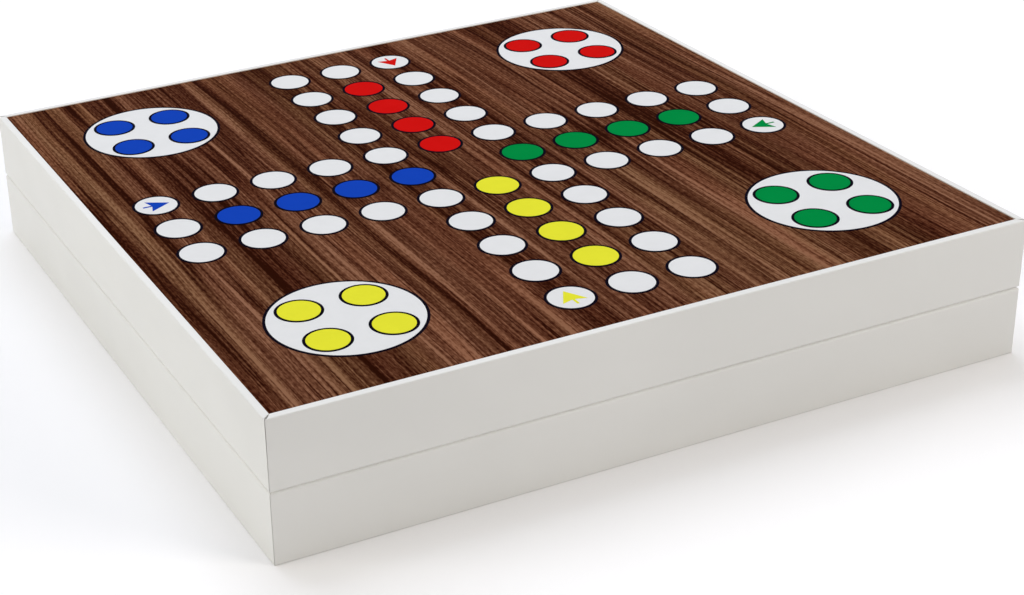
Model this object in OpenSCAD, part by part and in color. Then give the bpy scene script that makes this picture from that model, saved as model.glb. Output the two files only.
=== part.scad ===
// Folding ludo board box: two equal shallow halves, joined by butt hinges at the back.
// Closed, the ludo board is the top. Opened flat, both halves lie side by side.
// Frame: X to the right along the front, Y to the back, Z up, origin under the closed box.

/* [Case] */
// Width of the closed box, left to right
box_w = 270; // [262:1:320]
// Depth of the closed box, front to back
box_d = 270; // [240:1:320]
// Height of one half of the box
half_h = 24.5; // [22:0.5:32]
// Thickness of the side rails
rail_t = 10; // [10:0.5:13]
// Width of the white lip that shows around a panel
lip_w = 2.5; // [2:0.1:4]
// Rounding of the lid's long outer edges at the lip
lip_edge_r = 1; // [0.5:0.1:1.8]
// Rounding of the base's long outer edges at the bottom
foot_edge_r = 0.4; // [0.2:0.1:1.8]
// Rounding of the rail edges where the halves meet
seam_edge_r = 1.2; // [0.4:0.1:1.5]
// Rounding of the upright outer corners
corner_edge_r = 0.6; // [0.3:0.1:1.5]
// Rounding of the inner edge of the rims
rim_edge_r = 0.6; // [0.3:0.1:1.2]
// Glue line in each mitred corner
mitre_gap = 0.12; // [0.06:0.02:0.3]

/* [Panels] */
// Thickness of the board panel and of the bottom panel
panel_t = 3; // [2:0.5:4]
// Gap between a panel and the wall of its rabbet
panel_gap = 0.1; // [0.05:0.05:0.3]
// Thickness of the felt linings
lining_t = 1; // [0.5:0.1:2]
// Gap between a lining and what stands round it
lining_gap = 0.4; // [0.3:0.1:1]

/* [Printed board] */
// From the edge of the board to the middle of its outermost fields
print_margin = 22; // [18:0.5:28]
// Radius of a field, inside its outline
field_r = 7.5; // [5:0.1:8]
// Radius of a home's dots, inside their outline
dot_r = 7; // [5:0.1:8]
// Width of the black outlines
outline_w = 0.7; // [0.3:0.1:1]
// White margin round the four dots of a home
home_margin = 1.5; // [0.5:0.1:3]
// Thickness of one printed layer
ink_t = 0.05; // [0.04:0.01:0.08]
// Width of a start arrow across its barbs
arrow_w = 8.6; // [5:0.2:9]
// Length of a start arrow's head
arrow_head_l = 7.6; // [5:0.2:8]
// Depth of the notch in the back of the arrow's head
arrow_notch = 1.2; // [0.4:0.2:2]
// Length of the arrow's tail
arrow_tail_l = 3.2; // [1:0.2:4]
// Width of the arrow's tail
arrow_tail_w = 0.8; // [0.4:0.1:2]

/* [Hinges] */
// Length of each hinge along the back
hinge_len = 40; // [30:1:50]
// From the side of the box to the middle of each hinge
hinge_inset = 55; // [40:1:80]
// From the back face out to the hinge's axis
axis_out = 0.2; // [0.1:0.05:0.5]
// Radius of the knuckles
knuckle_r = 2; // [1.8:0.1:2.2]
// Number of knuckles in one hinge
knuckle_n = 5; // [3:2:7]
// Gap between neighbouring knuckles
knuckle_gap = 0.2; // [0.1:0.05:0.4]
// Free space between the knuckles and the wood
knuckle_relief = 0.3; // [0.2:0.05:0.5]
// Radius of the hinge pin
pin_r = 0.8; // [0.6:0.05:1]
// Running clearance between the pin and the knuckles, on the radius
pin_play = 0.04; // [0.02:0.01:0.08]
// Radius of the pin's peened heads
pin_head_r = 1.3; // [1.2:0.1:1.6]
// Thickness of the pin's peened heads
pin_head_t = 0.5; // [0.3:0.1:0.8]
// Thickness of a hinge leaf
leaf_t = 1; // [0.8:0.1:1.2]
// From the axis to the free edge of a leaf
leaf_w = 8.5; // [8:0.1:9]
// Gap between the two leaves of a closed hinge
leaf_gap = 0.3; // [0.2:0.05:0.4]
// Play round a leaf in its mortise
mortise_play = 0.1; // [0.05:0.05:0.2]

/* [Screws and magnets] */
// Screws in one leaf
screw_n = 3; // [2:1:3]
// From the end of a leaf to its first screw
screw_edge = 6.5; // [4:0.5:8]
// Length of a screw
screw_l = 9; // [6:0.5:12]
// Radius of the screw's shank
screw_r = 1; // [0.8:0.1:1.2]
// Radius of the screw's head
screw_head_r = 1.95; // [1.6:0.05:2.1]
// Clearance of a screw in its hole
screw_play = 0.05; // [0.03:0.01:0.1]
// Diameter of the closing magnets
magnet_d = 6; // [4:0.5:7]
// Thickness of the closing magnets
magnet_t = 3; // [2:0.5:4]
// From the side of the box to each magnet
magnet_inset = 75; // [30:1:110]
// How far a magnet lies below the rim
magnet_sink = 0.15; // [0.1:0.05:0.3]
// Gap between a magnet and its bore, on the radius
magnet_gap = 0.05; // [0.03:0.01:0.1]

/* [Tray] */
// Clear depth of the bins along the back
bin_d = 32; // [30:1:40]
// Thickness of the dividers
divider_t = 3; // [2:0.5:4]
// Height of the dividers
divider_h = 15; // [10:0.5:17]
// Gap at the glued ends of the dividers
divider_gap = 0.1; // [0.05:0.05:0.3]
// Radius of the finger scoops in the long divider
scoop_r = 14; // [10:0.5:16]
// Depth of the finger scoops
scoop_depth = 6; // [3:0.5:8]

/* [Playing pieces] */
// Height of a pawn
pawn_h = 21; // [18:0.5:22]
// Radius of a pawn's foot
pawn_foot_r = 6; // [5:0.5:6.5]
// Thickness of a pawn's foot
pawn_foot_t = 1.6; // [1:0.2:2.4]
// Radius of the body just above the foot
pawn_body_r = 4.9; // [3.6:0.1:5]
// Radius of a pawn's neck
pawn_neck_r = 2; // [1.4:0.1:2.4]
// Radius of a pawn's head
pawn_head_r = 3.6; // [3:0.1:4]
// Radius of the hollow curve of a pawn's body
pawn_flare_r = 24; // [14:1:60]
// Edge length of the dice
die_w = 12; // [10:0.5:14]
// Radius of the dice's pips
pip_r = 1.2; // [0.8:0.1:1.4]
// Depth of the dice's pips
pip_depth = 0.45; // [0.2:0.05:0.8]
// Gap below a pawn that lies loose
seat_gap = 0.25; // [0.2:0.05:0.4]
// Room left round the loose pieces in their bins
piece_gap = 0.4; // [0.3:0.1:1.5]

/* [Hidden] */
$fn = 64;
eps = 1;

RAILS = ["front", "back", "left", "right"];
SIDES = ["left", "right"];
COLOURS = ["blue", "red", "green", "yellow"];
PAWNS_EACH = 4;

WHITE = "#e9e8e4";
WALNUT = "#6b442e";
INK = "#15151c";
FELT = "#2f4a3a";
BRASS = "#c9a455";
STEEL = "#b9bcc0";
BEECH = "#d9bd90";
IVORY = "#f1eee2";

// Layers of print, from the panel outwards, and the depth that they need below the lip
layer_outline = 0;
layer_field = 1;
layer_mark = 2;
layer_dot = 3;
print_layers = 4;
print_depth = print_layers * ink_t;

// Inside of the halves
panel_w = box_w - 2 * lip_w;
panel_d = box_d - 2 * lip_w;
inner_w = box_w - 2 * rail_t;
inner_d = box_d - 2 * rail_t;
box_h = 2 * half_h;

// The board's grid: eleven fields from edge to edge, with the middle one left free
arm = 5;
home_step = 4;
pitch = (min(panel_w, panel_d) - 2 * print_margin) / (2 * arm);
outline_r = field_r + outline_w;
dot_outline_r = dot_r + outline_w;
dot_step = pitch / 2;
home_r = dot_step * sqrt(2) + dot_outline_r + home_margin;

// Hinge: the knuckles of the base have even numbers and those of the lid odd ones
hinge_x = box_w / 2 - hinge_inset;
knuckle_l = hinge_len / knuckle_n;
base_knuckles = 0;
lid_knuckles = 1;
axis_y = box_d / 2 + axis_out;
leaf_top = -leaf_gap / 2;
screw_y = -(knuckle_r + knuckle_relief + leaf_w) / 2;
screw_step = (hinge_len - 2 * screw_edge) / (screw_n - 1);
screw_head_h = screw_head_r - screw_r;
screw_top = leaf_top - leaf_t + screw_head_h;
screw_tip_h = 2;
slot_w = 0.5;
slot_depth = 0.35;

// A lying pawn touches the floor with its foot and its head, so its axis dips to the head
foot_edge = pawn_foot_t / 2;
lie_r = pawn_foot_r - foot_edge;
lie_s = pawn_h - pawn_head_r - foot_edge;
lie_tilt = acos((pawn_head_r - foot_edge) / norm([lie_r, lie_s])) - atan2(lie_s, lie_r);
lie_h = (pawn_h - pawn_head_r) * sin(lie_tilt) + pawn_head_r;
lie_front = (pawn_h - pawn_head_r) * cos(lie_tilt) + pawn_head_r;
lie_back = lie_r * sin(lie_tilt) + foot_edge * (1 - cos(lie_tilt));

// Pawns lie a little askew: the largest turn, and the angle that spreads the turns
lie_turn = 4;
uneven = 137;

// Tray: two bins of pawns on each side, as wide as two pawns end to end, and the dice between
bin_n = 5;
dice_bin = 2;
PAWN_BINS = [0, 1, 3, 4];
bin_y0 = inner_d / 2 - bin_d;
pawn_room = (lie_front + lie_back) * cos(lie_turn) + 2 * pawn_foot_r * sin(lie_turn) + piece_gap;
pawn_bin_w = 2 * pawn_room + piece_gap;
bin_step = pawn_bin_w + divider_t;
dice_bin_w = inner_w - (bin_n - 1) * bin_step;
die_room = die_w * sqrt(2) + 2 * piece_gap;

// Each die's corner of its bin, as signs along X and Y, and how far the die is turned
DICE = [[-1, 1, 24], [1, -1, -14]];

PAINTS = ["#1b40b4", "#dc1414", "#008c3c", "#e1e42d"];
function paint(c) = PAINTS[search([c], COLOURS)[0]];
function side_sign(s) = s == "left" ? -1 : 1;

// Helpers

module corner_cut(r) {
    // What a rounding of radius r takes off a square corner at the origin
    difference() {
        translate([-eps, -eps]) square(r + eps);
        translate([r, r]) circle(r);
    }
}

module in_lid() {
    // The lid is the base's mirror image above the seam
    translate([0, 0, box_h]) mirror([0, 0, 1]) children();
}

module on_hinge(s) {
    // Hinge frame: X along the axis, Y to the back, Z up, origin at the middle of the axis
    translate([side_sign(s) * hinge_x, axis_y, half_h]) children();
}

module rod(r, l) {
    // A round bar along X, centred
    translate([-l / 2, 0, 0]) rotate([0, 90, 0]) cylinder(r = r, h = l);
}

// Rails

module rail_section(rabbet, lip_r) {
    // Section of a rail: the outer face is x = 0 and the lip is y = 0
    difference() {
        square([rail_t, half_h]);
        translate([lip_w, -eps]) square([rail_t, rabbet + eps]);
        corner_cut(lip_r);
        translate([0, half_h]) mirror([0, 1]) corner_cut(seam_edge_r);
        translate([rail_t, half_h]) rotate(180) corner_cut(rim_edge_r);
    }
}

module rail_plan(length) {
    // Plan of a rail with mitred ends and eased outer corners
    cut = mitre_gap / sqrt(2);
    half = length / 2;
    difference() {
        polygon([[cut - half, 0], [half - cut, 0],
            [half - cut - rail_t, rail_t], [cut - half + rail_t, rail_t]]);
        translate([-half, 0]) corner_cut(corner_edge_r);
        translate([half, 0]) mirror([1, 0]) corner_cut(corner_edge_r);
    }
}

module rail(length, rabbet, lip_r) {
    // A rail along X, outer face at y = 0, standing on its lip
    intersection() {
        translate([-length / 2, 0, 0]) rotate([90, 0, 90]) linear_extrude(length) rail_section(rabbet, lip_r);
        translate([0, 0, -eps]) linear_extrude(half_h + 2 * eps) rail_plan(length);
    }
}

module front_rail(rabbet, lip_r) {
    color(WHITE) difference() {
        translate([0, -box_d / 2, 0]) rail(box_w, rabbet, lip_r);
        at_magnets() cylinder(r = magnet_d / 2 + magnet_gap, h = magnet_t + magnet_sink + eps);
    }
}

module back_rail(rabbet, lip_r) {
    color(WHITE) difference() {
        translate([0, box_d / 2, 0]) rotate(180) rail(box_w, rabbet, lip_r);
        for (s = SIDES) on_hinge(s) {
            leaf_mortise();
            at_screws() translate([0, 0, -screw_l - eps / 2]) cylinder(r = screw_r + screw_play, h = screw_l);
        }
    }
}

module side_rail(sign, rabbet, lip_r) {
    color(WHITE) translate([sign * box_w / 2, 0, 0]) rotate(sign * 90) rail(box_d, rabbet, lip_r);
}

module base_rail(side) {
    // A rail of the base, whose panel lies flush with the lip
    if (side == "front") front_rail(panel_t, foot_edge_r);
    if (side == "back") back_rail(panel_t, foot_edge_r);
    if (side == "left") side_rail(-1, panel_t, foot_edge_r);
    if (side == "right") side_rail(1, panel_t, foot_edge_r);
}

module lid_rail(side) {
    // A rail of the lid, whose rabbet also takes the print
    rabbet = panel_t + print_depth;
    in_lid() {
        if (side == "front") front_rail(rabbet, lip_edge_r);
        if (side == "back") back_rail(rabbet, lip_edge_r);
        if (side == "left") side_rail(-1, rabbet, lip_edge_r);
        if (side == "right") side_rail(1, rabbet, lip_edge_r);
    }
}

module at_magnets() {
    // The magnets' seats in the front rim
    x = box_w / 2 - magnet_inset;
    for (m = [-1, 1])
        translate([m * x, (rail_t - box_d) / 2, half_h - magnet_sink - magnet_t]) children();
}

module magnets() {
    color(STEEL) at_magnets() cylinder(d = magnet_d, h = magnet_t);
}

// Panels and linings

module base_panel() {
    side = 2 * panel_gap;
    color(WALNUT) translate([(side - panel_w) / 2, (side - panel_d) / 2, 0])
        cube([panel_w - side, panel_d - side, panel_t]);
}

module board_panel() {
    color(WALNUT) in_lid() translate([0, 0, print_depth]) base_panel();
}

module lining(w, d) {
    color(FELT) translate([-w / 2, 0, 0]) cube([w, d, lining_t]);
}

module base_lining() {
    // Felt on the floor of the open bay, in front of the bins
    y0 = lining_gap - inner_d / 2;
    translate([0, y0, panel_t]) lining(inner_w - 2 * lining_gap, bin_y0 - divider_t - lining_gap - y0);
}

module lid_lining() {
    // Felt under the board panel
    in_lid() translate([0, lining_gap - inner_d / 2, panel_t + print_depth])
        lining(inner_w - 2 * lining_gap, inner_d - 2 * lining_gap);
}

// Printed board

module ink(layer) {
    // One printed layer, seen from above, at its height over the board panel
    translate([0, 0, box_h - print_depth + layer * ink_t]) linear_extrude(ink_t) children();
}

module lane_fields() {
    // The home lane in the middle of one arm
    for (i = [1:arm - 1]) translate([i * pitch, 0]) children();
}

module at_home() {
    // Middle of the home that lies behind the arm that points to the right
    translate([home_step * pitch, home_step * pitch]) children();
}

module home_dots() {
    for (x = [-1, 1], y = [-1, 1]) at_home() translate([x * dot_step, y * dot_step]) children();
}

module path_fields() {
    // The cross of path fields, each made once: the inner corners belong to two arms
    for (a = [0:90:270]) rotate(a) {
        for (i = [1:arm]) translate([i * pitch, pitch]) children();
        for (i = [2:arm]) translate([i * pitch, -pitch]) children();
        translate([arm * pitch, 0]) children();
    }
}

module arrow() {
    // A start arrow that points to the right, centred on its field
    tip = (arrow_head_l + arrow_tail_l - arrow_notch) / 2;
    back = tip - arrow_head_l;
    notch = back + arrow_notch;
    tail = notch - arrow_tail_l;
    polygon([[tip, 0], [back, arrow_w / 2], [notch, arrow_tail_w / 2], [tail, arrow_tail_w / 2],
        [tail, -arrow_tail_w / 2], [notch, -arrow_tail_w / 2], [back, -arrow_w / 2]]);
}

module start_arrow() {
    // On the start field of the arm that points to the left, pointing inward
    translate([-arm * pitch, pitch]) arrow();
}

module print_outlines() {
    color(INK) {
        ink(layer_outline) {
            path_fields() circle(outline_r);
            for (a = [0:90:270]) rotate(a) {
                lane_fields() circle(outline_r);
                at_home() circle(home_r + outline_w);
            }
        }
        for (a = [0:90:270]) rotate(a) ink(layer_mark) home_dots() circle(dot_outline_r);
    }
}

module print_white() {
    color(WHITE) ink(layer_field) {
        path_fields() circle(field_r);
        for (a = [0:90:270]) rotate(a) at_home() circle(home_r);
    }
}

module print_colour(c) {
    // One player's lane, home dots and start arrow; the players go round clockwise from the left
    turn = -90 * search([c], COLOURS)[0];
    color(paint(c)) rotate(turn) {
        ink(layer_field) rotate(180) lane_fields() circle(field_r);
        ink(layer_mark) start_arrow();
        ink(layer_dot) rotate(90) home_dots() circle(dot_r);
    }
}

// Hinges

module barrel(r, first, longer) {
    // Every other knuckle from the first, each made longer at both ends by the given length
    for (k = [first:2:knuckle_n - 1])
        translate([(k + 0.5) * knuckle_l - hinge_len / 2, 0, 0]) rod(r, knuckle_l + 2 * longer);
}

module at_screws() {
    // Tops of one leaf's screws, in the hinge frame
    for (k = [0:screw_n - 1])
        translate([screw_edge - hinge_len / 2 + k * screw_step, screw_y, screw_top]) children();
}

module leaf(own, other) {
    // A leaf below the axis plane, with its own knuckles and room for the other leaf's
    difference() {
        union() {
            difference() {
                translate([-hinge_len / 2, -leaf_w, leaf_top - leaf_t]) cube([hinge_len, leaf_w, leaf_t]);
                barrel(knuckle_r + knuckle_relief, other, knuckle_gap / 2);
            }
            barrel(knuckle_r, own, -knuckle_gap / 2);
        }
        rod(pin_r + pin_play, hinge_len + eps);
        at_screws() screw_hole();
    }
}

module leaf_mortise() {
    // Seat of a leaf in the rim, and the trough for the knuckles and the pin's heads
    length = hinge_len + 2 * mortise_play;
    translate([-length / 2, -leaf_w - mortise_play, leaf_top - leaf_t])
        cube([length, leaf_w + mortise_play, leaf_t + leaf_gap + eps]);
    rod(knuckle_r + knuckle_relief, hinge_len + 2 * (pin_head_t + knuckle_relief));
}

module base_leaf(s) {
    color(BRASS) on_hinge(s) leaf(base_knuckles, lid_knuckles);
}

module lid_leaf(s) {
    color(BRASS) in_lid() on_hinge(s) leaf(lid_knuckles, base_knuckles);
}

module hinge_pin(s) {
    color(STEEL) on_hinge(s) {
        rod(pin_r, hinge_len);
        for (m = [0, 1]) mirror([m, 0, 0])
            translate([hinge_len / 2, 0, 0]) rotate([0, 90, 0]) cylinder(r = pin_head_r, h = pin_head_t);
    }
}

module screw_hole() {
    // Countersunk hole through a leaf, from the plane of the screw's head
    hole_r = screw_r + screw_play;
    sink_r = screw_head_r + screw_play;
    translate([0, 0, -screw_head_h]) cylinder(r1 = hole_r, r2 = sink_r, h = screw_head_h);
    cylinder(r = sink_r, h = eps);
    translate([0, 0, -leaf_t - eps]) cylinder(r = hole_r, h = leaf_t + eps);
}

module screw() {
    // Countersunk wood screw, with the top of its head at z = 0
    difference() {
        rotate_extrude() polygon([[0, 0], [screw_head_r, 0], [screw_r, -screw_head_h],
            [screw_r, screw_tip_h - screw_l], [0, -screw_l]]);
        translate([-screw_head_r - eps, -slot_w / 2, -slot_depth])
            cube([2 * (screw_head_r + eps), slot_w, slot_depth + eps]);
    }
}

module hinge_screws() {
    color(BRASS) for (s = SIDES) on_hinge(s) at_screws() screw();
}

// Tray dividers

// Which side of the dice a bin lies on, and the middle of a bin
function side_of(i) = sign(i - dice_bin);
function bin_x(i) =
    side_of(i) * ((dice_bin_w - pawn_bin_w) / 2 + abs(i - dice_bin) * bin_step);

module long_divider() {
    // The front wall of the bins, with a finger scoop at each bin
    length = inner_w - 2 * divider_gap;
    color(BEECH) difference() {
        translate([-length / 2, bin_y0 - divider_t, panel_t]) cube([length, divider_t, divider_h]);
        for (i = [0:bin_n - 1])
            translate([bin_x(i), bin_y0 + eps, panel_t + divider_h - scoop_depth + scoop_r])
                rotate([90, 0, 0]) cylinder(r = scoop_r, h = divider_t + 2 * eps);
    }
}

module cross_divider(i) {
    // The wall between bin i - 1 and bin i; it closes a pawn bin on the side of the dice
    pawn_bin = i <= dice_bin ? i - 1 : i;
    x = bin_x(pawn_bin) - side_of(pawn_bin) * bin_step / 2;
    color(BEECH) translate([x - divider_t / 2, bin_y0 + divider_gap, panel_t])
        cube([divider_t, bin_d - 2 * divider_gap, divider_h]);
}

// Playing pieces

module pawn_section() {
    // Half section of a standing pawn: a rounded foot, a hollow-sided body and a ball
    foot = [pawn_body_r, pawn_foot_t];
    neck = [pawn_neck_r, pawn_h - pawn_head_r - sqrt(pow(pawn_head_r, 2) - pow(pawn_neck_r, 2))];
    chord = neck - foot;
    middle = (neck + foot) / 2;
    out = [chord.y, -chord.x] / norm(chord);
    away = sqrt(pow(pawn_flare_r, 2) - pow(norm(chord) / 2, 2));
    square([lie_r, pawn_foot_t]);
    intersection() {
        translate([lie_r, foot_edge]) circle(foot_edge);
        square([pawn_foot_r + eps, pawn_foot_t]);
    }
    difference() {
        polygon([[0, foot.y - foot_edge], [foot.x, foot.y - foot_edge], foot, neck, [0, neck.y]]);
        translate(middle + out * away) circle(pawn_flare_r, $fn = 128);
    }
    translate([0, pawn_h - pawn_head_r]) intersection() {
        circle(pawn_head_r);
        translate([0, -pawn_head_r]) square([pawn_head_r, 2 * pawn_head_r]);
    }
}

module pawn(c, i) {
    // Pawns lie in pairs, head to tail, in the bin of their colour
    bin = PAWN_BINS[search([c], COLOURS)[0]];
    column = (i - 1) % 2;
    row = floor((i - 1) / 2);
    turn = 180 * ((row + column) % 2) + lie_turn * sin(uneven * (i + PAWNS_EACH * bin));
    x = bin_x(bin) + (column - 0.5) * pawn_room;
    y = bin_y0 + (row + 0.5) * bin_d / 2;
    color(paint(c)) translate([x, y, panel_t + seat_gap + lie_h])
        rotate(turn) translate([(lie_back - lie_front) / 2, 0, 0]) rotate([0, 90 + lie_tilt, 0])
            rotate_extrude() pawn_section();
}

function pips(n) = concat(
    n % 2 == 1 ? [[0, 0]] : [],
    n > 1 ? [[-1, -1], [1, 1]] : [],
    n > 3 ? [[-1, 1], [1, -1]] : [],
    n == 6 ? [[-1, 0], [1, 0]] : []
);

// Radius of the ball that rounds a die's corners, in edge lengths
die_ball = 0.69;

// How a die turns to bring each of its faces to the top, one to six
FACES = [[0, 0, 0], [90, 0, 0], [0, 90, 0], [0, -90, 0], [-90, 0, 0], [180, 0, 0]];

module die(place) {
    // A die in a corner of its bin, with sunk pips; opposite faces add up to seven
    pip_step = die_w / 4;
    pip_h = die_w / 2 + pip_r - pip_depth;
    x = place.x * (dice_bin_w - die_room) / 2;
    y = bin_y0 + bin_d / 2 + place.y * (bin_d - die_room) / 2;
    color(IVORY) translate([x, y, panel_t + die_w / 2])
        rotate(place.z) difference() {
            intersection() {
                cube(die_w, center = true);
                sphere(die_ball * die_w);
            }
            for (n = [1:6], p = pips(n))
                rotate(FACES[n - 1]) translate([p.x * pip_step, p.y * pip_step, pip_h]) sphere(pip_r);
        }
}

// Base

for (r = RAILS)
    base_rail(r);
base_panel();
base_lining();
magnets();  // base_magnets
hinge_screws();  // base_hinge_screws
long_divider();
for (i = [1:bin_n - 1])
    cross_divider(i);

// Lid

for (r = RAILS)
    lid_rail(r);
board_panel();
lid_lining();
in_lid() magnets();  // lid_magnets
in_lid() hinge_screws();  // lid_hinge_screws
print_outlines();
print_white();
for (c = COLOURS)
    print_colour(c);

// Hinges

for (s = SIDES)
    base_leaf(s);
for (s = SIDES)
    lid_leaf(s);
for (s = SIDES)
    hinge_pin(s);

// Playing pieces

for (c = COLOURS, i = [1:PAWNS_EACH])
    pawn(c, i);
for (i = [1:len(DICE)])
    die(DICE[i - 1]);
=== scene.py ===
"""Finishes the folding ludo board box and stands it in a plain studio.

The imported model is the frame: every piece is in metres, in the place of its solid. Each
sub-assembly of the box is a class that holds its sizes, builds the pieces that need a finer
mesh than their solids have, and dresses the others where they are.
"""

from __future__ import annotations

import logging
import math
from dataclasses import dataclass, field, replace
from enum import Enum
from functools import cache
from typing import Iterable, Sequence

import bmesh
import bpy
from mathutils import Matrix, Vector


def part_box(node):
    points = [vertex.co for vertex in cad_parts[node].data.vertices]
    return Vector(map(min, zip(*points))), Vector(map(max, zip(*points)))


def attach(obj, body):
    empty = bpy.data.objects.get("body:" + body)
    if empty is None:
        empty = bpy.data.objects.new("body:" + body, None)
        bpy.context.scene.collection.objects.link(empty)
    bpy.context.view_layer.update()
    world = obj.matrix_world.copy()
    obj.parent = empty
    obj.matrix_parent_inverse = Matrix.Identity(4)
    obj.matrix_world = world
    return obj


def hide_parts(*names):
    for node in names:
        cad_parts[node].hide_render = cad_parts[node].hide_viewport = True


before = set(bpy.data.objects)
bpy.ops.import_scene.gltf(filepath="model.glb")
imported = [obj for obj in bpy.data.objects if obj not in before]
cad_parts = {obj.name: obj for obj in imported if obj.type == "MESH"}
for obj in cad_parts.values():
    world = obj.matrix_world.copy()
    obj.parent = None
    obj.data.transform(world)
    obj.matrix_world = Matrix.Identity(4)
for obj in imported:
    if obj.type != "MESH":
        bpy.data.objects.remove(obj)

LOG = logging.getLogger("ludo_box")
MM = 0.001

# Triangles that turn by less than this many degrees belong to one flat face
FLAT_ANGLE = 0.2

# Edges that turn by more than this many degrees stay sharp, unless a piece says otherwise
SHARP_ANGLE = 35.0

# Corners closer together than this are one, in the solids and in what a recipe makes
WELD = 0.002 * MM
MERGE = 0.001 * MM

# Faces across an eased edge, the profile of a round one, and how far large faces lead the shading
EASE_STEPS = 2
ROUND_PROFILE = 0.5
FLATS_WEIGHT = 100

# The whole range of a noise, its middle, and the part that most of its values fill
WHOLE = (0.0, 1.0)
NOISE_MIDDLE = 0.5
MIDDLE = (0.3, 0.7)

# How strongly the matt films reflect
MATT_LEVEL = 0.003

# Width of one bump of the lacquer's orange peel
PEEL_W = 0.9 * MM

# Places of the sockets that a Mix node uses for colours
MIX_SHARE = 0
MIX_FIRST = 6
MIX_SECOND = 7
MIX_RESULT = 2

Colour = tuple[float, float, float, float]
Triple = tuple[float, float, float]
Place = tuple[float, float]
Range = tuple[float, float]
Inputs = dict[str | int, object]
Piece = bpy.types.Object
Mesh = bpy.types.Mesh
Material = bpy.types.Material
Node = bpy.types.Node
Socket = bpy.types.NodeSocket


class Body(Enum):
    """The two halves that move against each other."""

    BASE = "base"
    LID = "lid"


class Player(Enum):
    """The four players, in the order in which they sit round the board."""

    BLUE = 0
    RED = 1
    GREEN = 2
    YELLOW = 3

    @property
    def word(self) -> str:
        """The colour's name, as it stands in the names of nodes and slots."""
        return self.name.lower()

    @property
    def turn(self) -> float:
        """The angle from the blue player's side of the board to this one's."""
        return -math.pi / 2 * self.value


class Side(Enum):
    """The two hinges, seen from the front."""

    LEFT = "left"
    RIGHT = "right"


class Layer(Enum):
    """The layers of ink, from the panel up; the arrows lie on the layer of the dots' rings."""

    OUTLINES = 0
    FIELDS = 1
    RINGS = 2
    DOTS = 3


# Colours and node trees


def paint(red: int, green: int, blue: int) -> Colour:
    """Turns a colour as the eye sees it into a shader's linear one.

    Args:
        red: Red, from 0 to 255.
        green: Green, from 0 to 255.
        blue: Blue, from 0 to 255.

    Returns:
        The linear colour with full cover.
    """

    def linear(level: int) -> float:
        """Undoes the display's curve for one channel, with the numbers of its standard."""
        share = level / 255
        return share / 12.92 if share <= 0.04045 else ((share + 0.055) / 1.055) ** 2.4

    return (linear(red), linear(green), linear(blue), 1.0)


def darker(colour: Colour, share: float) -> Colour:
    """A colour with only a share of its light."""
    red, green, blue, cover = colour
    return (share * red, share * green, share * blue, cover)


def even(size: float) -> Triple:
    """The same size along all three axes."""
    return (size, size, size)


class Wiring:
    """A tree of nodes in the making, with short names for common steps."""

    def __init__(self, tree: bpy.types.NodeTree) -> None:
        """Takes up a tree.

        Args:
            tree: The tree that gets the nodes.
        """
        self.tree = tree

    def fill(self, socket: Socket, value: object) -> None:
        """Fills one input.

        Args:
            socket: The input.
            value: An output socket that is linked to it, or a plain value.
        """
        if isinstance(value, bpy.types.NodeSocket):
            self.tree.links.new(value, socket)
        else:
            socket.default_value = value

    def add(self, kind: str, inputs: Inputs | None = None, **settings: object) -> Node:
        """Adds a node, with its options set and its inputs filled.

        Args:
            kind: Blender's name for the kind of node.
            inputs: Values or output sockets, by the input's name or number.
            **settings: Options of the node itself.

        Returns:
            The new node.
        """
        node = self.tree.nodes.new(kind)
        for name, value in settings.items():
            setattr(node, name, value)
        for name, value in (inputs or {}).items():
            self.fill(node.inputs[name], value)
        return node

    def sum(self, first: Socket | float, second: Socket | float, how: str = "ADD") -> Socket:
        """Joins two values by a sum, or by another rule of the Math node."""
        return self.add("ShaderNodeMath", {0: first, 1: second}, operation=how).outputs[0]

    def times(self, first: Socket | float, second: Socket | float) -> Socket:
        """The product of two values."""
        return self.sum(first, second, "MULTIPLY")

    def vector(self, **parts: Socket | float) -> Socket:
        """Joins values for X, Y and Z, where one that is left out is 0."""
        return self.add("ShaderNodeCombineXYZ", parts).outputs["Vector"]

    def spread(self, value: Socket, source: Range, target: Range = WHOLE) -> Socket:
        """Stretches a part of a value's range to a new range, and clamps the rest.

        Args:
            value: The value to stretch.
            source: The part of its range that is stretched.
            target: What the ends of that part become; from 0 to 1 the step is a smooth one.

        Returns:
            The stretched value.
        """
        ends = dict(zip(("From Min", "From Max", "To Min", "To Max"), source + target))
        smooth = "SMOOTHSTEP" if target == WHOLE else "LINEAR"
        node = self.add("ShaderNodeMapRange", {"Value": value, **ends}, interpolation_type=smooth)
        return node.outputs["Result"]


@dataclass(frozen=True)
class Pattern:
    """One layer of soft noise: patches to a metre, start, finer layers, twist and how far it swings."""

    patches: Triple
    start: Triple = (0, 0, 0)
    detail: float = 2.0
    rough: float = 0.5
    swirl: float = 0.0
    swing: float = 1.0

    def turned(self) -> Pattern:
        """The same noise with the sizes of its patches along X and Y swapped."""
        x, y, z = self.patches
        return replace(self, patches=(y, x, z))


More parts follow.
